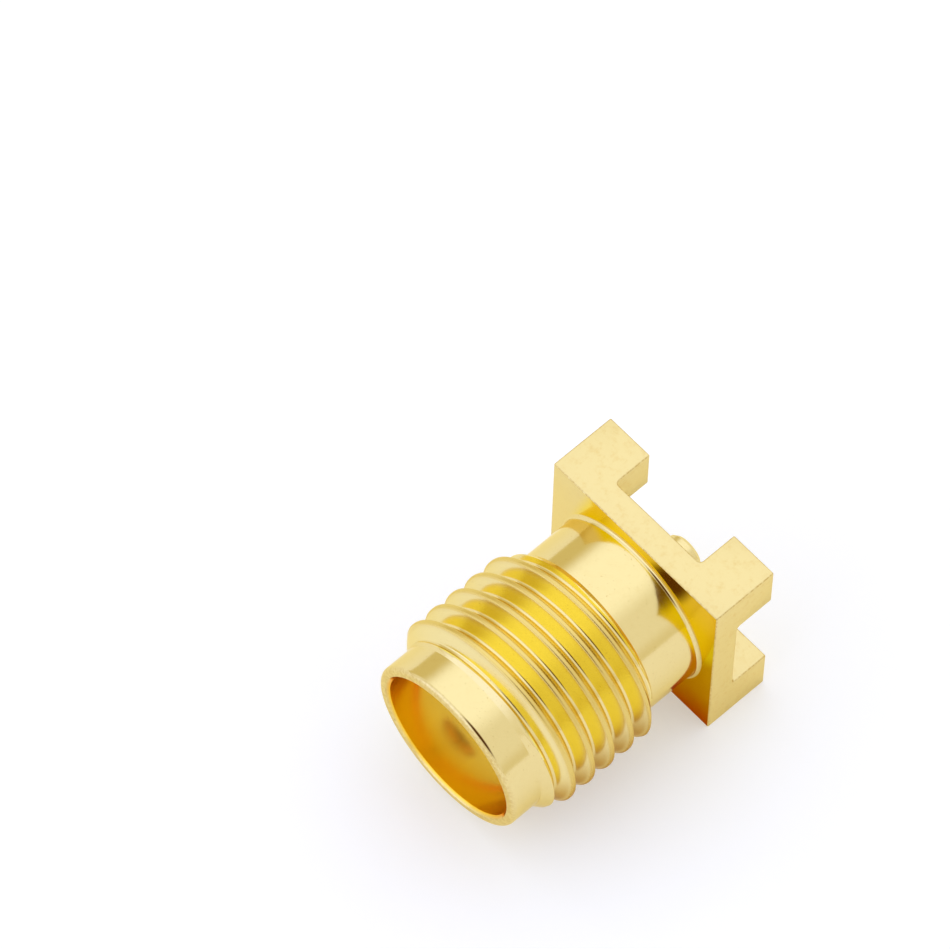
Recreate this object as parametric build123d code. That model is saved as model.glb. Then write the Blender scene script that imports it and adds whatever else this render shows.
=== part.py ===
from build123d import *
import math
import os

# Board-mount coaxial jack: a gold-plated body turned and milled in one piece, with a
# threaded barrel, a square flange and four corner feet, round a plastic insulator that
# holds a slotted centre contact.
# Everything is modelled on the Z axis with the board plane at zero and the mating end up,
# x to the right and y to the top, and is laid down at the end so that it mates along -Y.
# Lengths are in millimetres and angles in degrees.

# Flange and feet
flange_side = 6.35
flange_thickness = 0.84
foot_side = 1.54
foot_length = 1.25
channel_corner_radius = 0.12
edge_break = 0.04

# Barrel, from the flange to the rim
neck_diameter = 5.3
neck_length = 1.72
neck_fillet = 0.12
thread_length = 4.07
thread_bevel_angle = 45.0
pilot_wall = 0.365
pilot_length = 0.99
rim_round = 0.14
rim_chamfer = 0.09

# Coupling thread, right-handed
thread_diameter = 6.25
thread_pitch = 25.4 / 36
thread_crest_flat = 0.11
thread_root_flat = 0.095
thread_angle = 60.0
groove_lead = 0.607

# Mating bore and insulator
bore_diameter = 4.6
bore_depth = 1.9
insulator_diameter = 4.1
insulator_clearance = 0.01

# Centre contact
contact_diameter = 1.27
contact_clearance = 0.02
contact_setback = 0.1
solder_pin_diameter = 1.2
solder_pin_chamfer = 0.1
collar_diameter = 1.7
collar_length = 0.7
collar_depth = 0.15
finger_wall = 0.165
socket_depth = 2.8
socket_lead_in = 0.1
slot_width = 0.12
slot_length = 2.2

# Heights along the axis
flange_back = foot_length
flange_front = flange_back + flange_thickness
thread_back = flange_front + neck_length
thread_front = thread_back + thread_length
rim = thread_front + pilot_length
reference_plane = rim - bore_depth
collar_back = flange_back + collar_depth
collar_front = collar_back + collar_length

# Radii
neck_radius = neck_diameter / 2
thread_radius = thread_diameter / 2
bore_radius = bore_diameter / 2
pilot_radius = bore_radius + pilot_wall
insulator_radius = insulator_diameter / 2
contact_radius = contact_diameter / 2
solder_pin_radius = solder_pin_diameter / 2
collar_radius = collar_diameter / 2
socket_radius = contact_radius - finger_wall


def turned(*points):
    """Solid turned about the axis from a closed outline of (radius, height) points."""
    return turned_outline(Polyline(*points, close=True))


def turned_outline(lines):
    """Solid turned about the axis from the lines of a closed outline in radius and height."""
    return revolve(Plane.XZ * make_face(lines), Axis.Z)


def circle_edges(shape, radius, height):
    """Circular edges of a shape that lie at one radius and one height."""
    return [
        edge
        for edge in shape.edges().filter_by(GeomType.CIRCLE)
        if math.isclose(edge.radius, radius, abs_tol=1e-4)
        and math.isclose(edge.arc_center.Z, height, abs_tol=1e-4)
    ]


def foot_block():
    """Square block with two crossing channels milled into its back, which leave four feet."""
    block = extrude(Rectangle(flange_side, flange_side), flange_front)
    corners = block.edges().filter_by(Axis.Z)
    front_edges = block.faces().sort_by(Axis.Z)[-1].edges()
    block = fillet(corners + front_edges, edge_break)
    channel_width = flange_side - 2 * foot_side
    section = Plane.XZ * Rectangle(channel_width, 2 * foot_length)
    channel = extrude(section, flange_side, both=True)
    floor_edges = channel.faces().sort_by(Axis.Z)[-1].edges().filter_by(Axis.Y)
    channel = fillet(floor_edges, channel_corner_radius)
    return block - channel - Rot(Z=90) * channel


def barrel_blank():
    """Barrel before its thread is cut: neck, thread land and pilot.

    The neck flares out to the flange in a small hollow fillet. The land is bevelled at both
    ends, down to the neck and to the pilot.
    """
    bevel_slope = math.tan(math.radians(thread_bevel_angle))
    back_bevel = (thread_radius - neck_radius) / bevel_slope
    front_bevel = (thread_radius - pilot_radius) / bevel_slope
    flare_radius = neck_radius + neck_fillet
    flare_top = flange_front + neck_fillet
    outline = Polyline(
        (neck_radius, flare_top),
        (neck_radius, thread_back),
        (thread_radius, thread_back + back_bevel),
        (thread_radius, thread_front - front_bevel),
        (pilot_radius, thread_front),
        (pilot_radius, rim),
        (0, rim),
        (0, flange_front),
        (flare_radius, flange_front),
    )
    return turned_outline(outline + CenterArc((flare_radius, flare_top), neck_fillet, 180, 90))


def groove_turn():
    """One turn of the coupling thread's groove, a little taller than the thread's crest.

    Four helices, two along the root and two above the crest, carry the ruled walls.
    """
    flank = math.tan(math.radians(thread_angle / 2))
    depth = (thread_pitch - thread_crest_flat - thread_root_flat) / 2 / flank
    root_radius = thread_radius - depth
    top_opening = thread_pitch - thread_crest_flat / 2
    top_radius = root_radius + (top_opening - thread_root_flat) / 2 / flank
    section = [
        (root_radius, -thread_root_flat / 2),
        (root_radius, thread_root_flat / 2),
        (top_radius, top_opening / 2),
        (top_radius, -top_opening / 2),
    ]
    helices = [
        Edge.make_helix(thread_pitch, thread_pitch, radius, center=(0, 0, offset))
        for radius, offset in section
    ]
    walls = [
        Face.make_surface_from_curves(first, second)
        for first, second in zip(helices, helices[1:] + helices[:1])
    ]
    ends = [Face(Wire.make_polygon([helix @ end for helix in helices])) for end in (0, 1)]
    return Solid(Shell(walls + ends))


def threaded(blank):
    """Blank with the groove cut turn by turn, out through both bevels of the land."""
    turn = groove_turn()
    start = thread_back - groove_lead
    for index in range(math.ceil((thread_front - start) / thread_pitch) + 1):
        blank -= Pos(Z=start + index * thread_pitch) * turn
    return blank


def body():
    """Plated body: foot block and threaded barrel, bored for the insulator."""
    seat_radius = insulator_radius + insulator_clearance
    blank = foot_block() + barrel_blank()
    blank -= turned(
        (0, 0),
        (seat_radius, 0),
        (seat_radius, reference_plane),
        (bore_radius, reference_plane),
        (bore_radius, rim),
        (0, rim),
    )
    blank = fillet(circle_edges(blank, pilot_radius, rim), rim_round)
    blank = chamfer(circle_edges(blank, bore_radius, rim), rim_chamfer)
    return threaded(blank)


def insulator():
    """Plastic sleeve from the flange's back face to the bore's reference plane.

    A recess in its hole holds the contact by the collar, which seats on the recess's back.
    """
    hole_radius = contact_radius + contact_clearance
    pin_hole_radius = solder_pin_radius + contact_clearance
    recess_radius = collar_radius + contact_clearance
    recess_front = collar_front + contact_clearance
    return turned(
        (pin_hole_radius, flange_back),
        (insulator_radius, flange_back),
        (insulator_radius, reference_plane),
        (hole_radius, reference_plane),
        (hole_radius, recess_front),
        (recess_radius, recess_front),
        (recess_radius, collar_back),
        (pin_hole_radius, collar_back),
    )


def center_contact():
    """Round contact: a solder pin, a retaining collar and a socket cut into four fingers."""
    tip = reference_plane - contact_setback
    socket_floor = tip - socket_depth
    rod = turned(
        (0, 0),
        (solder_pin_radius - solder_pin_chamfer, 0),
        (solder_pin_radius, solder_pin_chamfer),
        (solder_pin_radius, collar_back),
        (collar_radius, collar_back),
        (collar_radius, collar_front),
        (contact_radius, collar_front),
        (contact_radius, tip),
        (socket_radius + socket_lead_in, tip),
        (socket_radius, tip - socket_lead_in),
        (socket_radius, socket_floor),
        (0, socket_floor),
    )
    slot = Pos(Z=tip) * Box(2 * contact_diameter, slot_width, 2 * slot_length)
    return rod - slot - Rot(Z=90) * slot


os.makedirs("parts", exist_ok=True)
laid_down = Rot(X=90)
for name, make in (("body", body), ("insulator", insulator), ("center_contact", center_contact)):
    export_step(laid_down * make(), f"parts/{name}.step")
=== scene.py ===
import logging
import math
from dataclasses import dataclass, field
from enum import Enum
from typing import Callable, Mapping, Optional, Sequence, Union

import bmesh
import bpy
import numpy as np
from mathutils import Matrix, Vector


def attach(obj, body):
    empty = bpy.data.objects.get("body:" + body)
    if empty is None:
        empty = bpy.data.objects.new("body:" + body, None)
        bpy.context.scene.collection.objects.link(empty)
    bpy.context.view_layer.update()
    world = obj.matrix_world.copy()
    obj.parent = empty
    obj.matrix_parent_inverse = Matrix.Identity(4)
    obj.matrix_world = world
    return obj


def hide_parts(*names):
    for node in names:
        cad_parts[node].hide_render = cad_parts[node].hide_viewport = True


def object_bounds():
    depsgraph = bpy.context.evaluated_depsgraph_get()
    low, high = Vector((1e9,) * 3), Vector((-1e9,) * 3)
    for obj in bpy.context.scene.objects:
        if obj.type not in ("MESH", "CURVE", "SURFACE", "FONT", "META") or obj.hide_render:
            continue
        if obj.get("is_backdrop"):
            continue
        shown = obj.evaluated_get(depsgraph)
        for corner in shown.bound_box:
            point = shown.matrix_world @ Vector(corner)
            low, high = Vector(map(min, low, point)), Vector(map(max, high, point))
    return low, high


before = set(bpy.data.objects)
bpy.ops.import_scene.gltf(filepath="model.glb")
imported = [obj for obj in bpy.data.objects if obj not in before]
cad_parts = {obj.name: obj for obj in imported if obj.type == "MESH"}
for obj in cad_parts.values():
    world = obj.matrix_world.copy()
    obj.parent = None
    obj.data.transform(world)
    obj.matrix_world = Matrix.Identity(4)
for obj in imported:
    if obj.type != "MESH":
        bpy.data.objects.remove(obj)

# Lengths are in millimetres until a finished mesh is scaled to metres. The jack lies along
# the Y axis: height is measured from the board plane towards the mating end, which is -Y,
# and an angle round the axis runs from +X towards +Z.
MM = 0.001
WELD = 1e-5
NOISE_MIDDLE = 0.5
SHARP_ANGLE = 40.0
LOG = logging.getLogger("coaxial_jack")

Operand = Union["Wire", float]
Colour = tuple[float, float, float]
Span = tuple[float, float]
WHITE: Colour = (1.0, 1.0, 1.0)


class Attribute(Enum):
    """Per-vertex values that tell a finish where it is on a piece."""

    MILLED = "milled"
    EDGE = "edge"
    CREST = "crest"
    GROOVE = "groove"
    FACING = "facing"
    FRONT = "front"
    BORE = "bore"
    DEEP = "deep"


class Wire:
    """One output of a shader node, usable in plain arithmetic with numbers and other wires."""

    def __init__(self, shader: "Shader", socket: bpy.types.NodeSocket) -> None:
        """Keep the socket and the shader that it belongs to."""
        self.shader = shader
        self.socket = socket

    def output(self, key: Union[str, int]) -> "Wire":
        """Another output of the same node."""
        return Wire(self.shader, self.socket.node.outputs[key])

    def __add__(self, other: Operand) -> "Wire":
        """Sum of two values."""
        return self.shader.math("ADD", self, other)

    def __radd__(self, other: Operand) -> "Wire":
        """Sum of a number and this value."""
        return self.shader.math("ADD", other, self)

    def __sub__(self, other: Operand) -> "Wire":
        """Difference of two values."""
        return self.shader.math("SUBTRACT", self, other)

    def __rsub__(self, other: Operand) -> "Wire":
        """A number less this value."""
        return self.shader.math("SUBTRACT", other, self)

    def __mul__(self, other: Operand) -> "Wire":
        """Product of two values."""
        return self.shader.math("MULTIPLY", self, other)

    def __rmul__(self, other: Operand) -> "Wire":
        """Product of a number and this value."""
        return self.shader.math("MULTIPLY", other, self)

    def __pow__(self, other: Operand) -> "Wire":
        """This value raised to a power."""
        return self.shader.math("POWER", self, other)

    def __rpow__(self, other: Operand) -> "Wire":
        """A number raised to this value."""
        return self.shader.math("POWER", other, self)


@dataclass(frozen=True)
class Noise:
    """Kind of soft noise: patches per millimetre, octaves on top and share of each in the next."""

    scale: float
    detail: float = 2.0
    roughness: float = 0.5


class Shader:
    """Node tree of one material or world, with one way to add any node."""

    def __init__(self, tree: bpy.types.NodeTree) -> None:
        """Start from an empty tree."""
        self.tree = tree
        tree.nodes.clear()

    def node(
        self,
        kind: str,
        settings: Optional[Mapping[str, object]] = None,
        inputs: Optional[Mapping[Union[str, int], object]] = None,
        output: Union[str, int] = 0,
    ) -> Optional[Wire]:
        """Add a node, set it up and wire it.

        Args:
            kind: Blender's name of the node type.
            settings: Properties of the node, set before its sockets.
            inputs: Values or wires for its sockets, by name or number.
            output: The output to return.

        Returns:
            The chosen output, or None for a node that has none.
        """
        node = self.tree.nodes.new(kind)
        for name, value in (settings or {}).items():
            setattr(node, name, value)
        for key, value in (inputs or {}).items():
            if isinstance(value, Wire):
                self.tree.links.new(value.socket, node.inputs[key])
            else:
                node.inputs[key].default_value = value
        return Wire(self, node.outputs[output]) if node.outputs else None

    def math(self, operation: str, first: Operand, second: Operand) -> Wire:
        """Result of one Math node on two values."""
        return self.node("ShaderNodeMath", {"operation": operation}, {0: first, 1: second})

    def attribute(self, which: Attribute) -> Wire:
        """Value of a vertex attribute of the piece."""
        return self.node("ShaderNodeAttribute", {"attribute_name": which.value}, output="Fac")

    def position(self) -> Wire:
        """Place on the piece in millimetres.

        Returns:
            The place, a vector of Object coordinates.
        """
        place = self.node("ShaderNodeTexCoord", output="Object")
        settings = {"operation": "SCALE"}
        return self.node("ShaderNodeVectorMath", settings, {0: place, "Scale": 1 / MM})

    def noise(self, place: Wire, kind: Noise) -> Wire:
        """Soft noise between 0 and 1.

        Args:
            place: Vector that the noise is read at.
            kind: Scale, detail and roughness of the noise.

        Returns:
            The noise value.
        """
        inputs = {
            "Vector": place,
            "Scale": kind.scale,
            "Detail": kind.detail,
            "Roughness": kind.roughness,
        }
        return self.node("ShaderNodeTexNoise", {"noise_dimensions": "3D"}, inputs)

    def step(self, value: Operand, low: float, high: float) -> Wire:
        """Smooth step that is 0 below low and 1 above high."""
        settings = {"interpolation_type": "SMOOTHSTEP", "clamp": True}
        return self.node("ShaderNodeMapRange", settings, {0: value, 1: low, 2: high})

    def mix(self, first: Union[Wire, Colour], second: Union[Wire, Colour], share: Operand) -> Wire:
        """Colour that goes from the first to the second as the share goes from 0 to 1."""
        inputs = {0: share, 6: rgba(first), 7: rgba(second)}
        return self.node("ShaderNodeMix", {"data_type": "RGBA"}, inputs, output=2)

    def plated(
        self,
        colour: Union[Wire, Colour],
        roughness: Operand,
        grazing: Colour,
        normal: Wire,
        metallic: float = 1.0,
    ) -> Wire:
        """Metal surface with a tint of its own at a slant.

        Args:
            colour: Colour seen from straight ahead.
            roughness: Roughness of the surface.
            grazing: Tint of what is mirrored at a slant.
            normal: Normal with the fine relief.
            metallic: Share of metal, the rest being a dull haze.

        Returns:
            The surface.
        """
        inputs = {
            "Base Color": rgba(colour),
            "Metallic": metallic,
            "Roughness": roughness,
            "Specular Tint": rgba(grazing),
            "Normal": normal,
        }
        return self.node("ShaderNodeBsdfPrincipled", inputs=inputs)


def rgba(colour: Union[Wire, Colour]) -> Union[Wire, tuple[float, ...]]:
    """A colour with its alpha, or the wire itself."""
    return colour if isinstance(colour, Wire) else (*colour, 1.0)


def new_material(name: str) -> tuple[bpy.types.Material, Shader]:
    """An empty node material and its shader.

    Args:
        name: Name of the material.

    Returns:
        The material and the shader that fills it.
    """
    material = bpy.data.materials.new(name)
    material.use_nodes = True
    return material, Shader(material.node_tree)


@dataclass(frozen=True)
class GoldPlate:
    """Gold plating over brass: bright and finely ringed where turned, mottled where milled.

    A grazing colour tints what is mirrored at a slant. A span holds the two values between
    which something fades in: of the noise, of the groove's depth, or of a place in
    millimetres across the jack, to the right and down. The deeper colours of the grooves,
    of the flange's front and its lower right corner, of the thread's underside and of the
    bore are painted reflection and painted shade.
    """

    name: str = "gold_plate"
    face: Colour = (0.815, 0.66, 0.295)
    tarnish: Colour = (0.72, 0.50, 0.16)
    edge: Colour = (0.50, 0.29, 0.05)
    crest: Colour = (0.76, 0.57, 0.17)
    # Painted reflection in the thread's grooves: deeper gold where the flanks mirror each other,
    # deepest on the flank facing back.
    front_flank_painted_reflection: Colour = (0.86, 0.72, 0.34)
    back_flank_painted_reflection: Colour = (0.95, 0.79, 0.11)
    grazing: Colour = (1.0, 0.90, 0.55)
    # Painted reflection of the thread's gold on the right part of the flange's front.
    front: Colour = (0.92, 0.68, 0.14)
    front_painted_reflection_grazing: Colour = (1.0, 0.93, 0.0)
    # Painted shade on the thread's underside to the lower right, where it mirrors the shaded floor.
    shade: Colour = (0.68, 0.46, 0.16)
    underside_shade_grazing: Colour = (0.72, 0.5, 0.28)
    # Painted shade: the shaded floor under the barrel, mirrored by the flange's lower right corner.
    corner: Colour = (0.64, 0.40, 0.10)
    corner_painted_shade_grazing: Colour = (0.62, 0.12, 0.0)
    # Painted reflection in the bore: deep orange of many bounces between its walls near the mouth,
    # paler deeper in.
    bore: Colour = (1.0, 0.62, 0.008)
    deep_bore_painted_reflection: Colour = (1.0, 0.72, 0.085)
    bore_painted_reflection_grazing: Colour = (1.0, 0.42, 0.02)
    turned_roughness: float = 0.115
    milled_roughness: float = 0.38
    crest_roughness: float = 0.3
    groove_roughness: float = 0.19
    bore_roughness: float = 0.16
    bore_haze: float = 0.18
    rings: Noise = Noise(50.0, 1.0)
    ring_height: float = 0.00005
    grain: Noise = Noise(11.0, 4.0, 0.65)
    grain_share: float = 0.35
    mottle_height: float = 0.004
    crest_mottle: float = 0.5
    roughness_spread: float = 0.1
    blotch: Noise = Noise(4.5, 3.0, 0.6)
    stain_span: Span = (0.46, 0.78)
    turned_stain: float = 0.15
    milled_stain: float = 0.4
    wear_span: Span = (0.35, 0.65)
    wear_share: float = 0.8
    pits: Noise = Noise(24.0, 0.0)
    pit_span: Span = (0.78, 0.84)
    pit_share: float = 0.5
    flank_span: Span = (0.02, 0.4)
    root_span: Span = (0.93, 0.99)
    painted_reflection_slope: float = 0.27
    painted_reflection_span: Span = (-2.9, -2.3)
    corner_shade_span: Span = (2.1, 3.0)
    corner_shade_share: float = 0.75
    corner_shade_tip_span: Span = (2.8, 6.2)
    painted_underside_span: Span = (2.2, 3.9)
    painted_underside_share: float = 0.85

    def material(self) -> bpy.types.Material:
        """Build the node material.

        Colour goes from the face colour to the deeper groove colours by the vertex attributes;
        these groove colours are painted reflection, gold mirrored in gold between the flanks.
        The right part of the flange's front, its lower right corner, the thread's underside
        there and the bore are surfaces of their own, which deepen at a slant. Their colours are
        painted light too: painted reflection of the thread on the flange's front, painted shade
        of the floor under the barrel on the corner and on the underside, and painted reflection
        of the bore's own walls in the bore. Noise on the place mottles the milled faces, and
        noise that depends on height and radius alone leaves rings on the turned ones.

        Returns:
            The material.
        """
        material, shader = new_material(self.name)
        place = shader.position()
        x = shader.node("ShaderNodeSeparateXYZ", inputs={0: place})
        y, z = x.output("Y"), x.output("Z")
        radius = (x * x + z * z) ** 0.5
        lathe = shader.node("ShaderNodeCombineXYZ", inputs={0: y, 1: radius})
        milled = shader.attribute(Attribute.MILLED)
        edge = shader.attribute(Attribute.EDGE)
        crest = shader.attribute(Attribute.CREST)
        depth = shader.attribute(Attribute.GROOVE)
        facing = shader.attribute(Attribute.FACING)
        front = shader.attribute(Attribute.FRONT)
        bore = shader.attribute(Attribute.BORE)
        deep = shader.attribute(Attribute.DEEP)
        groove = shader.step(depth, *self.flank_span) * (1 - shader.step(depth, *self.root_span))

        grain = shader.noise(place, self.grain)
        blotch = shader.noise(place, self.blotch)
        rings = shader.noise(lathe, self.rings)
        pits = shader.step(shader.noise(place, self.pits), *self.pit_span)
        pits = pits * (1 - milled) * (1 - bore)
        mottle = grain * self.grain_share + blotch * (1 - self.grain_share)
        stain = shader.step(mottle, *self.stain_span)
        stain = stain * (self.turned_stain + self.milled_stain * milled)
        wear = edge * shader.step(grain, *self.wear_span) * self.wear_share

        colour = shader.mix(self.face, self.tarnish, stain)
        colour = shader.mix(colour, self.crest, crest)
        # Painted reflection in the grooves, by groove depth and by which way the flank faces.
        colour = shader.mix(colour, shader.mix(self.back_flank_painted_reflection, self.front_flank_painted_reflection, facing), groove)
        colour = shader.mix(colour, self.edge, wear)
        colour = shader.mix(colour, self.edge, pits * self.pit_share)

        roughness = self.turned_roughness + (grain - NOISE_MIDDLE) * self.roughness_spread
        for zone, zone_roughness in (
            (milled, self.milled_roughness),
            (crest, self.crest_roughness),
            (groove, self.groove_roughness),
        ):
            roughness = roughness + zone * (zone_roughness - self.turned_roughness)

        mottled = milled + crest * self.crest_mottle
        height = rings * self.ring_height + mottled * grain * self.mottle_height
        relief = {"Strength": 1.0, "Distance": MM, "Height": height}
        bump = shader.node("ShaderNodeBump", inputs=relief)

        across = x - z
        # Right part of the flange's front, where the thread's reflection is painted.
        right = shader.step(x - z * self.painted_reflection_slope, *self.painted_reflection_span)
        # Painted shade, growing towards the flange's lower right corner.
        corner = shader.step(across, *self.corner_shade_span) * self.corner_shade_share
        corner = corner + shader.step(across, *self.corner_shade_tip_span) * (1 - self.corner_shade_share)
        # Painted shade on the crests and grooves of the thread's lower right side.
        painted_underside_shade = (crest + groove) * shader.step(across, *self.painted_underside_span)
        painted_underside_shade = painted_underside_shade * self.painted_underside_share
        # Painted reflection of the bore's walls, paler with depth.
        bore_painted_reflection = shader.mix(self.bore, self.deep_bore_painted_reflection, deep)
        metal = 1 - self.bore_haze
        surface = shader.plated(colour, roughness, self.grazing, bump)
        for share, *look in (
            # Painted reflection of the thread on the flange's front.
            (front * right, self.front, self.turned_roughness, self.front_painted_reflection_grazing, bump),
            # Painted shade at the flange's lower right corner.
            (front * corner, self.corner, self.turned_roughness, self.corner_painted_shade_grazing, bump),
            # Painted shade on the thread's underside.
            (painted_underside_shade, self.shade, self.groove_roughness, self.underside_shade_grazing, bump),
            # Painted reflection in the bore.
            (bore, bore_painted_reflection, self.bore_roughness, self.bore_painted_reflection_grazing, bump, metal),
        ):
            layers = {0: share, 1: surface, 2: shader.plated(*look)}
            surface = shader.node("ShaderNodeMixShader", inputs=layers)
        shader.node("ShaderNodeOutputMaterial", inputs={"Surface": surface})
        return material


@dataclass(frozen=True)
class Fluoropolymer:
    """White waxy plastic of the insulator, with a faint grain and a soft clouding."""

    name: str = "white_fluoropolymer"
    face: Colour = (0.95, 0.95, 0.93)
    shade: Colour = (0.90, 0.89, 0.86)
    roughness: float = 0.42
    roughness_spread: float = 0.1
    refraction: float = 1.36
    cloud: Noise = Noise(2.2, 3.0)
    cloud_span: Span = (0.4, 0.75)
    grain: Noise = Noise(22.0, 2.0)
    grain_height: float = 0.002

    def material(self) -> bpy.types.Material:
        """Build the node material.

        Returns:
            The material.
        """
        material, shader = new_material(self.name)
        place = shader.position()
        cloud = shader.step(shader.noise(place, self.cloud), *self.cloud_span)
        grain = shader.noise(place, self.grain)
        relief = {"Distance": self.grain_height * MM, "Height": grain}
        bump = shader.node("ShaderNodeBump", inputs=relief)
        surface = shader.node(
            "ShaderNodeBsdfPrincipled",
            inputs={
                "Base Color": shader.mix(self.face, self.shade, cloud),
                "Roughness": self.roughness + (grain - NOISE_MIDDLE) * self.roughness_spread,
                "Normal": bump,
                "IOR": self.refraction,
            },
        )
        shader.node("ShaderNodeOutputMaterial", inputs={"Surface": surface})
        return material


@dataclass(frozen=True)
class FloorCard:
    """Plain white card under the jack, lifted to full white for the camera and for gloss."""

    name: str = "white_card"
    face: Colour = (0.72, 0.72, 0.72)
    lift: float = 0.35

    def material(self) -> bpy.types.Material:
        """Build the node material.

        Returns:
            The material.
        """
        material, shader = new_material(self.name)
        path = shader.node("ShaderNodeLightPath", output="Is Camera Ray")
        seen = path + path.output("Is Glossy Ray") + path.output("Is Transmission Ray")
        card = shader.node("ShaderNodeBsdfDiffuse", inputs={"Color": rgba(self.face)})
        lift = shader.node("ShaderNodeEmission", inputs={"Strength": seen * self.lift})
        surface = shader.node("ShaderNodeAddShader", inputs={0: card, 1: lift})
        shader.node("ShaderNodeOutputMaterial", inputs={"Surface": surface})
        return material


@dataclass
class Patch:
    """Points and four-sided faces of one surface, in millimetres."""

    points: np.ndarray
    faces: np.ndarray

    def add_to(self, work: bmesh.types.BMesh) -> None:
        """Put the surface into a mesh under work.

        Args:
            work: The mesh, which keeps what it holds already.
        """
        mesh = bpy.data.meshes.new("patch")
        mesh.from_pydata(self.points, [], self.faces.tolist())
        work.from_mesh(mesh)
        bpy.data.meshes.remove(mesh)


def around(radius: np.ndarray, height: np.ndarray, angle: np.ndarray) -> np.ndarray:
    """Points round the axis: (radius cos angle, -height, radius sin angle).

    Args:
        radius: Distances from the axis.
        height: Heights along the axis.
        angle: Angles round the axis, in radians; the three are spread over each other.

    Returns:
        The points, one row each.
    """
    radius, height, angle = np.broadcast_arrays(radius, height, angle)
    points = np.stack([radius * np.cos(angle), -height, radius * np.sin(angle)], axis=-1)
    return points.reshape(-1, 3)


def grid_quads(index: np.ndarray) -> np.ndarray:
    """Quads between neighbouring rows and columns of a table of point numbers."""
    corners = [index[:-1, :-1], index[1:, :-1], index[1:, 1:], index[:-1, 1:]]
    return np.stack(corners, axis=-1).reshape(-1, 4)


def column_angles(columns: int) -> np.ndarray:
    """Angles of evenly spaced columns round the axis."""
    return np.arange(columns) * (2 * np.pi / columns)


def turned(outline: np.ndarray, columns: int, closed: bool = False) -> Patch:
    """Surface of revolution: each outline point (radius, height) is turned round the axis.

    Args:
        outline: Radius and height of each point in order.
        columns: Points round the axis.
        closed: Whether the last outline point joins the first.

    Returns:
        The surface.
    """
    points = around(outline[:, [0]], outline[:, [1]], column_angles(columns))
    index = np.arange(len(outline) * columns).reshape(len(outline), columns)
    index = np.concatenate([index, index[:, :1]], axis=1)
    if closed:
        index = np.concatenate([index, index[:1]], axis=0)
    return Patch(points, grid_quads(index))


def arc(
    centre: tuple[float, float],
    radius: float,
    start: float,
    end: float,
    steps: int = 8,
) -> np.ndarray:
    """Points of a round corner: centre + radius * (cos t, sin t).

    Args:
        centre: Radius and height of the middle.
        radius: Radius of the corner.
        start: First angle t, in degrees.
        end: Last angle t, in degrees.
        steps: Parts that the corner is divided into.

    Returns:
        The points in order.
    """
    turn = np.radians(np.linspace(start, end, steps + 1))
    return np.array(centre) + radius * np.stack([np.cos(turn), np.sin(turn)], axis=-1)


def line(*corners: tuple[float, float], step: float = 0.25) -> np.ndarray:
    """Points along straight runs between corners, evenly spaced on each run.

    Args:
        corners: Radius and height of each corner.
        step: Largest distance between points.

    Returns:
        The points in order, each inner corner twice.
    """
    runs = [
        np.linspace(first, last, 1 + max(1, math.ceil(math.dist(first, last) / step)))
        for first, last in zip(corners, corners[1:])
    ]
    return np.concatenate(runs)


def soft_min(first: np.ndarray, second: np.ndarray, blend: Union[np.ndarray, float]) -> np.ndarray:
    """Smaller of two values, rounded where they meet: (a + b - sqrt((a - b)^2 + k^2)) / 2."""
    return (first + second - np.sqrt((first - second) ** 2 + blend**2)) / 2


def smooth_step(value: np.ndarray, low: float, high: float) -> np.ndarray:
    """Cubic step t * t * (3 - 2 t), where t runs from 0 at low to 1 at high."""
    share = np.clip((value - low) / (high - low), 0, 1)
    return share * share * (3 - 2 * share)


def boundary_at(work: bmesh.types.BMesh, height: float) -> list[bmesh.types.BMEdge]:
    """Open edges that lie in the plane at one height.

    Args:
        work: The mesh under work.
        height: Height of the plane.

    Returns:
        The edges.
    """
    return [
        edge
        for edge in work.edges
        if edge.is_boundary and all(abs(vertex.co.y + height) < WELD for vertex in edge.verts)
    ]


def finished(work: bmesh.types.BMesh, name: str, material: bpy.types.Material) -> bpy.types.Object:
    """Close a mesh under work and make it an object in metres.

    Args:
        work: The mesh, in millimetres; it is freed.
        name: Name of the object.
        material: Finish of the whole piece.

    Returns:
        The object, smooth shaded with sharp edges kept.
    """
    bmesh.ops.remove_doubles(work, verts=work.verts, dist=WELD)
    bmesh.ops.recalc_face_normals(work, faces=work.faces)
    mesh = bpy.data.meshes.new(name)
    work.to_mesh(mesh)
    work.free()
    mesh.transform(Matrix.Scale(MM, 4))
    mesh.polygons.foreach_set("use_smooth", np.ones(len(mesh.polygons), bool))
    mesh.set_sharp_from_angle(angle=math.radians(SHARP_ANGLE))
    mesh.materials.append(material)
    piece = bpy.data.objects.new(name, mesh)
    bpy.context.scene.collection.objects.link(piece)
    return piece


def place_of(mesh: bpy.types.Mesh) -> tuple[np.ndarray, np.ndarray]:
    """Places and normals of a finished mesh's vertices.

    Args:
        mesh: The mesh, in metres.

    Returns:
        The points in millimetres and the normals, one row each.
    """
    points = np.empty(len(mesh.vertices) * 3, np.float32)
    normals = np.empty(len(mesh.vertices) * 3, np.float32)
    mesh.vertices.foreach_get("co", points)
    mesh.vertices.foreach_get("normal", normals)
    return points.reshape(-1, 3) / MM, normals.reshape(-1, 3)


def store(mesh: bpy.types.Mesh, which: Attribute, values: np.ndarray) -> None:
    """Write one value per vertex as an attribute."""
    layer = mesh.attributes.new(which.value, "FLOAT", "POINT")
    layer.data.foreach_set("value", values.astype(np.float32))


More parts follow.
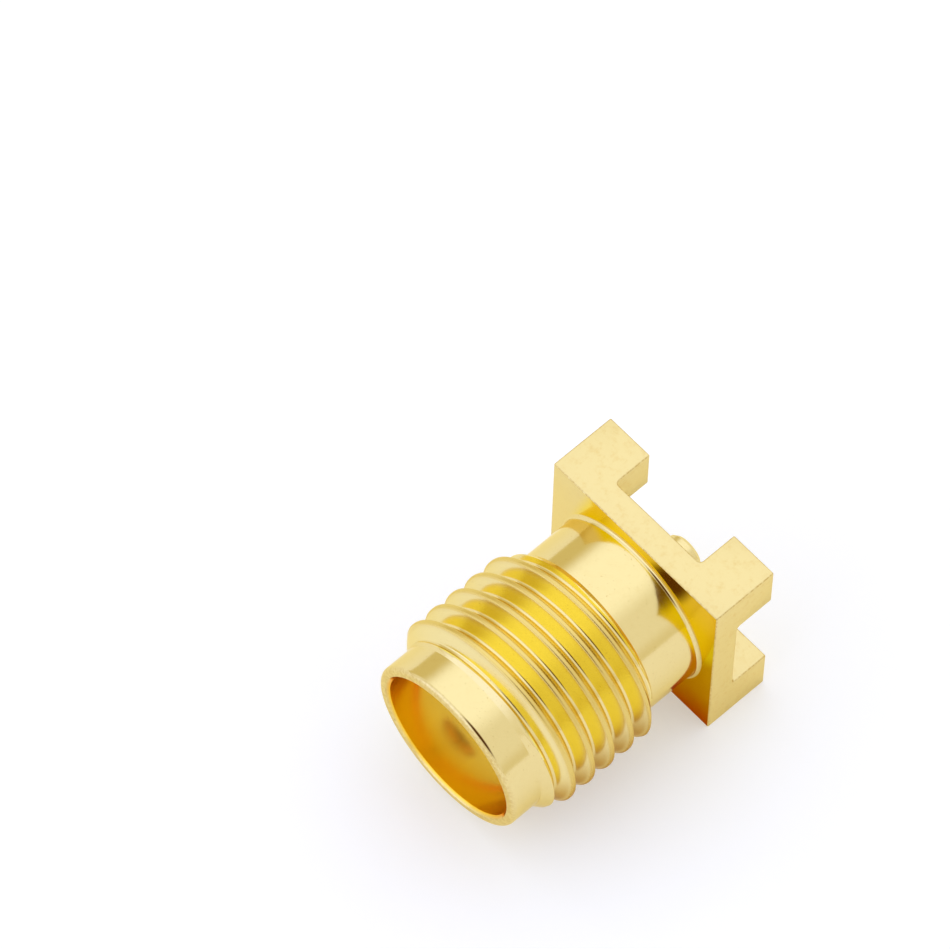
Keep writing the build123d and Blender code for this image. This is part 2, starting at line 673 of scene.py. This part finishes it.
@dataclass
class Thread:
    """Right-hand coupling thread between the neck and the pilot."""

    back: float
    front: float
    back_radius: float
    front_radius: float
    radius: float = 3.125
    pitch: float = 25.4 / 36
    crest_flat: float = 0.11
    root_flat: float = 0.095
    flank_angle: float = 30.0
    groove_lead: float = 0.607
    crest_rounding: float = 0.016
    root_rounding: float = 0.03
    rounding_runout: float = 0.1
    even_rows: int = 13
    fine_rows: int = 5
    fine_reach: float = 0.04
    columns: int = 256

    @property
    def depth(self) -> float:
        """Height of the crest above the root."""
        flank_width = (self.pitch - self.crest_flat - self.root_flat) / 2
        return flank_width / math.tan(math.radians(self.flank_angle))

    def land(self, height: np.ndarray) -> np.ndarray:
        """Radius before the groove is cut: the crest, bevelled at 45 degrees at both ends.

        Args:
            height: Heights along the axis.

        Returns:
            The radius at each height.
        """
        back_bevel = self.back_radius + height - self.back
        front_bevel = self.front_radius + self.front - height
        return np.minimum(self.radius, np.minimum(back_bevel, front_bevel))

    def groove_radius(self, offset: np.ndarray) -> np.ndarray:
        """Radius of the groove's wall at an axial offset from the groove's middle.

        The wall is flat along the root and rises along the flank, at the flank angle to the
        radius, with its corners rounded.

        Args:
            offset: Distances along the axis from the groove's middle.

        Returns:
            The radius at each offset.
        """
        flank = (np.abs(offset) - self.root_flat / 2) / math.tan(math.radians(self.flank_angle))
        return self.radius - self.depth - soft_min(-flank, np.zeros_like(flank), self.root_rounding)

    def radius_at(self, height: np.ndarray, angle: np.ndarray) -> np.ndarray:
        """Radius of the thread at a height and an angle.

        The groove's middle climbs one pitch per turn, and the nearest turn of it counts. The
        surface is the smaller of the land's and the groove's radius, rounded where they meet
        except close to the ends.

        Args:
            height: Heights along the axis.
            angle: Angles round the axis, in radians.

        Returns:
            The radius at each place.
        """
        climbed = height - self.back + self.groove_lead - self.pitch * angle / (2 * np.pi)
        offset = (climbed + self.pitch / 2) % self.pitch - self.pitch / 2
        from_end = np.minimum(height - self.back, self.front - height)
        blend = self.crest_rounding * smooth_step(from_end, 0.0, self.rounding_runout)
        return soft_min(self.land(height), self.groove_radius(offset), blend)

    def row_offsets(self) -> np.ndarray:
        """Axial offsets of the rows in one pitch, closer at the root's and crest's corners.

        Returns:
            The offsets from the groove's middle, in order.
        """
        half = self.pitch / 2
        even = np.linspace(-half, half, self.even_rows + 1)[:-1]
        fine = np.linspace(-self.fine_reach, self.fine_reach, self.fine_rows)
        corners = (self.root_flat / 2, half - self.crest_flat / 2)
        close = [side * (corner + fine) for corner in corners for side in (-1, 1)]
        return np.unique(np.concatenate([even, *close]))

    def patch(self) -> Patch:
        """Thread surface on rows that follow the helix.

        Point (row, column) has height = start + turn * pitch + offset + pitch * angle / 2 pi,
        held between the ends. The last column joins the first one turn further up.

        Returns:
            The surface, open at the neck and at the pilot.
        """
        offsets = self.row_offsets()
        turns = np.arange(-1, math.ceil((self.front - self.back) / self.pitch) + 2)
        start = self.back - self.groove_lead
        rows = (start + turns[:, None] * self.pitch + offsets[None, :]).reshape(-1, 1)
        angle = column_angles(self.columns)
        height = np.clip(rows + self.pitch * angle / (2 * np.pi), self.back, self.front)
        radius = self.radius_at(height, angle)
        index = np.arange(height.size).reshape(height.shape)
        joined = np.minimum(np.arange(len(rows)) + len(offsets), len(rows) - 1)
        index = np.concatenate([index, index[joined, :1]], axis=1)
        return Patch(around(radius, height, angle), grid_quads(index))


@dataclass(frozen=True)
class ZoneSpans:
    """Values between which the zones of the body's skin fade in.

    Lengths are in millimetres. A slant is one less the largest part of the normal, a facing is
    its part towards the mating end, and the groove's depth is a share of the thread's.
    """

    edge_slant: Span = (0.02, 0.2)
    rim_wear: float = 0.5
    below_land: Span = (0.0, 0.05)
    bevel_crest: float = 0.06
    crest_depth: Span = (0.02, 0.2)
    facing: Span = (-0.2, 0.2)
    bore_depth: Span = (0.3, 1.5)


@dataclass
class PlatedBody:
    """Body turned and milled in one piece: feet, flange, neck, thread, pilot and bore."""

    finish: GoldPlate
    flange_side: float = 6.35
    flange_thickness: float = 0.84
    foot_side: float = 1.54
    foot_length: float = 1.25
    channel_corner: float = 0.12
    edge_break: float = 0.04
    neck_radius: float = 2.65
    neck_length: float = 1.72
    neck_fillet: float = 0.12
    thread_length: float = 4.07
    pilot_radius: float = 2.665
    pilot_length: float = 0.99
    rim_round: float = 0.14
    rim_chamfer: float = 0.09
    bore_radius: float = 2.3
    bore_depth: float = 1.9
    seat_radius: float = 2.06
    hollow_fold: float = -0.5
    hollow_segments: int = 4
    proud_fold: float = 1.0
    proud_segments: int = 3
    spans: ZoneSpans = ZoneSpans()
    flange_front: float = field(init=False)
    rim: float = field(init=False)
    bore_floor: float = field(init=False)
    thread: Thread = field(init=False)

    def __post_init__(self) -> None:
        """Work out the heights along the axis and set up the thread."""
        self.flange_front = self.foot_length + self.flange_thickness
        thread_back = self.flange_front + self.neck_length
        thread_front = thread_back + self.thread_length
        self.rim = thread_front + self.pilot_length
        self.bore_floor = self.rim - self.bore_depth
        self.thread = Thread(thread_back, thread_front, self.neck_radius, self.pilot_radius)

    def neck(self) -> Patch:
        """Neck from the flange's front face to the thread, flared by a hollow fillet.

        Returns:
            The turned surface, open at both ends.
        """
        centre = (self.neck_radius + self.neck_fillet, self.flange_front + self.neck_fillet)
        flare = arc(centre, self.neck_fillet, 270, 180)
        top = (self.neck_radius, self.thread.back)
        return turned(np.concatenate([flare, line(tuple(flare[-1]), top)[1:]]), self.thread.columns)

    def mouth(self) -> Patch:
        """Pilot, rounded rim, chamfer, bore, shoulder and insulator seat in one outline.

        Returns:
            The turned surface, open at the thread and at the channel floor.
        """
        shoulder = self.pilot_radius - self.rim_round
        straight = self.rim - self.rim_round
        outer = line((self.pilot_radius, self.thread.front), (self.pilot_radius, straight))
        rounded = arc((shoulder, straight), self.rim_round, 0, 90)
        inner = line(
            (shoulder, self.rim),
            (self.bore_radius + self.rim_chamfer, self.rim),
            (self.bore_radius, self.rim - self.rim_chamfer),
            (self.bore_radius, self.bore_floor),
            (self.seat_radius, self.bore_floor),
            (self.seat_radius, self.foot_length),
        )
        return turned(np.concatenate([outer[:-1], rounded[:-1], inner]), self.thread.columns)

    def foot_block(self) -> bmesh.types.BMesh:
        """Flange and feet on a lattice of three by three cells at three levels.

        The corner cells reach back to the feet's ends and the others stop at the channel
        floor. Upright faces join the levels round each foot and round the flange. Hollow
        corners get the channel's radius and proud ones the edge break. The front and the
        channel floor are left open for the barrel.

        Returns:
            The mesh under work.
        """
        half = self.flange_side / 2
        channel = half - self.foot_side
        lines = (-half, -channel, channel, half)
        levels = (0.0, self.foot_length, self.flange_front)
        level, x, z = np.meshgrid(levels, lines, lines, indexing="ij")
        points = np.stack([x, -level, z], axis=-1).reshape(-1, 3)
        feet, floor, front = np.arange(level.size).reshape(level.shape)
        is_foot = np.array([True, False, True])
        is_foot = np.logical_and.outer(is_foot, is_foot).ravel()
        foot_cells, floor_cells, front_cells = map(grid_quads, (feet, floor, front))
        foot_ends = foot_cells[is_foot]
        feet_round = np.stack([foot_ends, floor_cells[is_foot]], axis=1)
        feet_round = np.concatenate([feet_round, feet_round[:, :, :1]], axis=2)
        flange = np.stack([floor, front])
        flange_sides = (flange[:, 0], flange[:, -1], flange[:, :, 0], flange[:, :, -1])
        walls = [grid_quads(strip) for strip in (*feet_round, *flange_sides)]
        faces = [front_cells, foot_ends, floor_cells[~is_foot], *walls]
        work = bmesh.new()
        Patch(points, np.concatenate(faces)).add_to(work)
        bmesh.ops.recalc_face_normals(work, faces=work.faces)
        for chosen, width, segments in (
            (lambda fold: fold < self.hollow_fold, self.channel_corner, self.hollow_segments),
            (lambda fold: fold > self.proud_fold, self.edge_break, self.proud_segments),
        ):
            self.round_edges(work, chosen, width, segments)
        open_planes = (self.foot_length, self.flange_front)
        flat = [
            face
            for face in work.faces
            if any(all(abs(v.co.y + plane) < WELD for v in face.verts) for plane in open_planes)
        ]
        bmesh.ops.delete(work, geom=flat, context="FACES")
        return work

    @staticmethod
    def round_edges(
        work: bmesh.types.BMesh,
        chosen: Callable[[float], bool],
        radius: float,
        segments: int,
    ) -> None:
        """Round the edges whose signed fold angle is chosen.

        Args:
            work: The mesh under work.
            chosen: Test of an edge's angle in radians, positive where the edge is proud.
            radius: Width of the rounding on each face.
            segments: Faces across the rounding.
        """
        edges = [edge for edge in work.edges if chosen(edge.calc_face_angle_signed(0.0))]
        bmesh.ops.bevel(
            work,
            geom=edges,
            offset=radius,
            offset_type="OFFSET",
            segments=segments,
            profile=0.5,
            affect="EDGES",
            clamp_overlap=True,
        )

    def zones(self, mesh: bpy.types.Mesh) -> None:
        """Write where a vertex is: milled block, edge, thread, flange's front or bore.

        Args:
            mesh: The finished mesh.
        """
        points, normals = place_of(mesh)
        height = -points[:, 1]
        radius = np.hypot(points[:, 0], points[:, 2])
        thread, spans = self.thread, self.spans

        milled = (height < self.flange_front - WELD) & (radius > self.seat_radius + WELD)
        slant = 1 - np.abs(normals).max(axis=1)
        on_rim = smooth_step(height, self.rim - self.rim_round, self.rim)
        on_rim = on_rim * (radius > self.bore_radius + WELD)
        edge = milled * smooth_step(slant, *spans.edge_slant) + spans.rim_wear * on_rim
        on_front = (np.abs(height - self.flange_front) < WELD) & (radius > self.neck_radius)

        root_radius = thread.radius - thread.depth
        on_thread = (height > thread.back + WELD) & (height < thread.front - WELD)
        on_thread &= radius > (root_radius + self.neck_radius) / 2
        land = thread.land(height)
        below_land = smooth_step(land - radius, *spans.below_land)
        groove = on_thread * below_land * np.clip((thread.radius - radius) / thread.depth, 0, 1)
        full_height = smooth_step(land, thread.radius - spans.bevel_crest, thread.radius)
        crest = on_thread * full_height * (1 - smooth_step(groove, *spans.crest_depth))

        inside = (radius < self.bore_radius + WELD) & (height > self.bore_floor - WELD)
        for which, values in (
            (Attribute.MILLED, milled),
            (Attribute.EDGE, edge),
            (Attribute.CREST, crest),
            (Attribute.GROOVE, groove),
            (Attribute.FACING, smooth_step(-normals[:, 1], *spans.facing)),
            (Attribute.FRONT, on_front),
            (Attribute.BORE, inside),
            (Attribute.DEEP, inside * smooth_step(self.rim - height, *spans.bore_depth)),
        ):
            store(mesh, which, values)

    def keep_rings_sharp(self, mesh: bpy.types.Mesh) -> None:
        """Keep the shading of neck and pilot apart from the thread's ends.

        Args:
            mesh: The finished mesh.
        """
        points, _ = place_of(mesh)
        ends = np.empty(len(mesh.edges) * 2, np.int32)
        sharp = np.empty(len(mesh.edges), bool)
        mesh.edges.foreach_get("vertices", ends)
        mesh.edges.foreach_get("use_edge_sharp", sharp)
        on_ring = np.isclose(-points[:, [1]], (self.thread.back, self.thread.front), atol=WELD)
        both_ends = on_ring[ends.reshape(-1, 2)].all(axis=1).any(axis=1)
        mesh.edges.foreach_set("use_edge_sharp", sharp | both_ends)

    def build(self) -> bpy.types.Object:
        """Join block and barrel into one closed skin and dress it.

        Returns:
            The piece.
        """
        work = self.foot_block()
        for patch in (self.neck(), self.thread.patch(), self.mouth()):
            patch.add_to(work)
        bmesh.ops.remove_doubles(work, verts=work.verts, dist=WELD)
        for plane in (self.foot_length, self.flange_front):
            bmesh.ops.triangle_fill(work, edges=boundary_at(work, plane), use_beauty=True)
        piece = finished(work, "plated_body", self.finish.material())
        self.keep_rings_sharp(piece.data)
        self.zones(piece.data)
        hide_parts("body")
        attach(piece, "root")
        return piece


@dataclass
class Insulator:
    """Plastic sleeve that fills the body behind the bore."""

    finish: Fluoropolymer
    back: float = 1.25
    front: float = 6.97
    radius: float = 2.05
    hole_radius: float = 0.655
    pin_hole_radius: float = 0.62
    recess_radius: float = 0.87
    recess_back: float = 1.4
    recess_front: float = 2.12
    edge_break: float = 0.04
    edge_steps: int = 3
    columns: int = 128

    def build(self) -> bpy.types.Object:
        """Turn the sleeve from its closed outline and dress it.

        Returns:
            The piece.
        """
        rounded = self.radius - self.edge_break
        low, high = self.back + self.edge_break, self.front - self.edge_break
        outline = np.concatenate([
            line((self.pin_hole_radius, self.back), (rounded, self.back))[:-1],
            arc((rounded, low), self.edge_break, 270, 360, self.edge_steps)[:-1],
            line((self.radius, low), (self.radius, high))[:-1],
            arc((rounded, high), self.edge_break, 0, 90, self.edge_steps)[:-1],
            line(
                (rounded, self.front),
                (self.hole_radius, self.front),
                (self.hole_radius, self.recess_front),
                (self.recess_radius, self.recess_front),
                (self.recess_radius, self.recess_back),
                (self.pin_hole_radius, self.recess_back),
                (self.pin_hole_radius, self.back),
            )[:-1],
        ])
        work = bmesh.new()
        turned(outline, self.columns, closed=True).add_to(work)
        piece = finished(work, "insulator_sleeve", self.finish.material())
        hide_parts("insulator")
        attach(piece, "root")
        return piece


@dataclass
class CenterContact:
    """Round contact: solder pin, collar and a socket slotted into four fingers."""

    finish: GoldPlate
    pin_radius: float = 0.6
    pin_chamfer: float = 0.1
    collar_radius: float = 0.85
    collar_back: float = 1.4
    collar_front: float = 2.1
    radius: float = 0.635
    tip: float = 6.87
    socket_radius: float = 0.47
    socket_depth: float = 2.8
    lead_in: float = 0.1
    slot_width: float = 0.12
    slot_length: float = 2.2
    columns: int = 96

    def rod(self) -> Patch:
        """Turned blank from the centre of the pin's end to the centre of the socket's floor.

        Returns:
            The closed surface.
        """
        floor = self.tip - self.socket_depth
        outline = line(
            (0.0, 0.0),
            (self.pin_radius - self.pin_chamfer, 0.0),
            (self.pin_radius, self.pin_chamfer),
            (self.pin_radius, self.collar_back),
            (self.collar_radius, self.collar_back),
            (self.collar_radius, self.collar_front),
            (self.radius, self.collar_front),
            (self.radius, self.tip),
            (self.socket_radius + self.lead_in, self.tip),
            (self.socket_radius, self.tip - self.lead_in),
            (self.socket_radius, floor),
            (0.0, floor),
        )
        return turned(outline, self.columns)

    def slots(self) -> bmesh.types.BMesh:
        """Two crossing blades, centred on the tip, that cut the socket into fingers.

        Returns:
            The blades as two closed shells.
        """
        work = bmesh.new()
        reach = 4 * self.radius
        spot = Matrix.Translation((0, -self.tip, 0))
        for width, depth in ((reach, self.slot_width), (self.slot_width, reach)):
            size = Matrix.Diagonal((width, 2 * self.slot_length, depth, 1.0))
            bmesh.ops.create_cube(work, size=1.0, matrix=spot @ size)
        return work

    def build(self) -> bpy.types.Object:
        """Cut the slots into the blank and dress it.

        Returns:
            The piece.
        """
        blank = bmesh.new()
        self.rod().add_to(blank)
        cut = carved(blank, self.slots())
        piece = finished(cut, "contact_pin", self.finish.material())
        points, _ = place_of(piece.data)
        store(piece.data, Attribute.BORE, -points[:, 1] > self.tip - self.socket_depth - WELD)
        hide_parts("center_contact")
        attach(piece, "root")
        return piece


def carved(blank: bmesh.types.BMesh, cutter: bmesh.types.BMesh) -> bmesh.types.BMesh:
    """Blank with the cutter's shells taken out of it.

    Args:
        blank: Closed mesh that keeps what is left; it is freed.
        cutter: Closed shells to take away; it is freed.

    Returns:
        The carved mesh under work.
    """
    objects = []
    for work, name in ((blank, "blank"), (cutter, "cutter")):
        bmesh.ops.remove_doubles(work, verts=work.verts, dist=WELD)
        bmesh.ops.recalc_face_normals(work, faces=work.faces)
        mesh = bpy.data.meshes.new(name)
        work.to_mesh(mesh)
        work.free()
        objects.append(bpy.data.objects.new(name, mesh))
        bpy.context.scene.collection.objects.link(objects[-1])
    cut = objects[0].modifiers.new("slots", "BOOLEAN")
    cut.operation = "DIFFERENCE"
    cut.solver = "EXACT"
    cut.use_self = True
    cut.object = objects[1]
    result = bmesh.new()
    result.from_object(objects[0], bpy.context.evaluated_depsgraph_get())
    for scratch in objects:
        mesh = scratch.data
        bpy.data.objects.remove(scratch)
        bpy.data.meshes.remove(mesh)
    return result


@dataclass(frozen=True)
class Viewpoint:
    """Camera that stands where the photograph was taken from.

    Angles are in degrees, distance and aim in millimetres and the clip distances in metres.
    """

    azimuth: float = 46.02
    elevation: float = 61.73
    roll: float = 1.56
    distance: float = 215.47
    aim: tuple[float, float, float] = (-4.995, -3.242, 1.503)
    focal_length: float = 303.16
    sensor_width: float = 36.0
    clip_start: float = 0.01
    clip_end: float = 20.0

    def direction(self) -> Vector:
        """Direction from the aim point to the camera.

        Returns:
            The unit vector.
        """
        azimuth, elevation = math.radians(self.azimuth), math.radians(self.elevation)
        level = math.cos(elevation)
        return Vector((math.sin(azimuth) * level, -math.cos(azimuth) * level, math.sin(elevation)))

    def camera(self) -> bpy.types.Object:
        """Make the camera and set it as the scene's own.

        Returns:
            The camera object.
        """
        back = self.direction()
        azimuth, roll = math.radians(self.azimuth), math.radians(self.roll)
        level_right = Vector((math.cos(azimuth), math.sin(azimuth), 0.0))
        level_up = back.cross(level_right)
        right = math.cos(roll) * level_right + math.sin(roll) * level_up
        up = back.cross(right)
        data = bpy.data.cameras.new("photo_camera")
        data.lens = self.focal_length
        data.sensor_width = self.sensor_width
        data.sensor_fit = "HORIZONTAL"
        data.clip_start = self.clip_start
        data.clip_end = self.clip_end
        camera = bpy.data.objects.new("photo_camera", data)
        turn = Matrix((right, up, back)).transposed().to_4x4()
        spot = (Vector(self.aim) + self.distance * back) * MM
        camera.matrix_world = Matrix.Translation(spot) @ turn
        bpy.context.scene.collection.objects.link(camera)
        bpy.context.scene.camera = camera
        return camera


@dataclass(frozen=True)
class SkyPatch:
    """Soft round patch of sky: full inside one angle from its middle and gone at another."""

    direction: tuple[float, float, float]
    colour: Colour
    inside: float
    outside: float

    def over(self, sky: Union[Wire, Colour], shader: Shader, looking: Wire) -> Wire:
        """Sky with this patch laid over it.

        Args:
            sky: Colour of the sky so far.
            shader: The world's shader.
            looking: Direction that is looked in.

        Returns:
            The new colour.
        """
        facing = shader.node(
            "ShaderNodeVectorMath",
            {"operation": "DOT_PRODUCT"},
            {0: looking, 1: Vector(self.direction).normalized()},
            output="Value",
        )
        edge, full = (math.cos(math.radians(angle)) for angle in (self.outside, self.inside))
        return shader.mix(sky, self.colour, shader.step(facing, edge, full))


@dataclass
class Studio:
    """White card floor in a white tent of light that is brightest overhead and in front.

    The floor's sizes are in millimetres. Heights and spans of the tent are parts of the unit
    direction that is looked in.
    """

    view: Viewpoint
    card: FloorCard
    floor_height: float
    floor_half: float = 1500.0
    floor_lines: int = 9
    side: Colour = (0.97, 0.97, 0.97)
    overhead: SkyPatch = SkyPatch((-0.25, 0.33, 0.91), (1.24, 1.30, 1.5), 20.0, 50.0)
    ahead: SkyPatch = SkyPatch((-0.36, -0.87, 0.33), (1.25, 1.34, 1.8), 18.0, 45.0)
    opening: SkyPatch = SkyPatch((0.52, -0.40, 0.755), (0.11, 0.042, 0.003), 13.0, 34.0)
    horizon: Colour = (0.77, 0.69, 0.42)
    horizon_front: float = 0.15
    horizon_right: float = 0.32
    horizon_left: float = 0.58
    horizon_fade: Span = (-0.25, 0.04)
    floor_fade: Span = (-0.02, 0.05)
    behind_span: Span = (-0.3, 0.2)
    side_span: Span = (-0.4, 0.4)
    right_share: float = 0.55

    def floor(self) -> bpy.types.Object:
        """Flat card at the height that the jack rests on.

        Returns:
            The floor object.
        """
        half = self.floor_half
        lines = np.linspace(-half, half, self.floor_lines)
        x, y = np.meshgrid(lines, lines)
        points = np.stack([x, y, np.full_like(x, self.floor_height)], axis=-1).reshape(-1, 3)
        index = np.arange(x.size).reshape(x.shape)
        work = bmesh.new()
        Patch(points, grid_quads(index.T)).add_to(work)
        card = finished(work, "floor_card", self.card.material())
        card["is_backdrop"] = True
        return card

    def tent(self) -> bpy.types.World:
        """World of white light with a warm band along the horizon.

        The band reaches from the floor to a height d.z of its own in front of the jack, behind
        it to the right and behind it to the left, and these are blended over the direction d.
        Two bright patches and the dark opening that the camera looks through lie over it. The
        camera itself sees plain white.

        Returns:
            The world.
        """
        world = bpy.data.worlds.new("light_tent")
        world.use_nodes = True
        shader = Shader(world.node_tree)
        looking = shader.node("ShaderNodeTexCoord", output="Generated")
        x = shader.node("ShaderNodeSeparateXYZ", inputs={0: looking})
        y, z = x.output("Y"), x.output("Z")
        behind = shader.step(y, *self.behind_span)
        left = 1 - shader.step(x, *self.side_span)
        back_top = self.horizon_right + left * (self.horizon_left - self.horizon_right)
        top = self.horizon_front + behind * (back_top - self.horizon_front)
        band = 1 - shader.step(z - top, *self.horizon_fade)
        band = band * shader.step(z, *self.floor_fade)
        band = band * (self.right_share + (1 - self.right_share) * left)
        light = self.overhead.over(self.side, shader, looking)
        light = shader.mix(light, self.horizon, band)
        light = self.ahead.over(light, shader, looking)
        light = self.opening.over(light, shader, looking)
        seen = shader.node("ShaderNodeLightPath", output="Is Camera Ray")
        light = shader.mix(light, WHITE, seen)
        surface = shader.node("ShaderNodeBackground", inputs={"Color": light})
        shader.node("ShaderNodeOutputWorld", inputs={"Surface": surface})
        bpy.context.scene.world = world
        return world

    def build(self) -> None:
        """Set up floor, light and camera."""
        self.floor()
        self.tent()
        self.view.camera()


def plain_lists(bounds: Sequence[Sequence[float]]) -> list[list[float]]:
    """A box's corners as plain lists of numbers."""
    return [[float(value) for value in corner] for corner in bounds]


def main() -> None:
    """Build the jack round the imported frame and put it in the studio."""
    logging.basicConfig(level=logging.INFO, format="%(name)s: %(message)s")
    cad_box = plain_lists(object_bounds())
    # The contact's socket gets a darker bore colour: painted shade in the socket hole.
    contact_gold = GoldPlate("contact_gold", turned_roughness=0.25, bore=(0.70, 0.27, 0.0))
    pieces = (
        PlatedBody(GoldPlate()),
        Insulator(Fluoropolymer()),
        CenterContact(contact_gold),
    )
    for part in pieces:
        piece = part.build()
        LOG.info("%s: %d faces", piece.name, len(piece.data.polygons))
    Studio(Viewpoint(), FloorCard(), floor_height=cad_box[0][2] / MM).build()
    bpy.context.scene.view_settings.view_transform = "Standard"


if __name__ == "__main__":
    main()
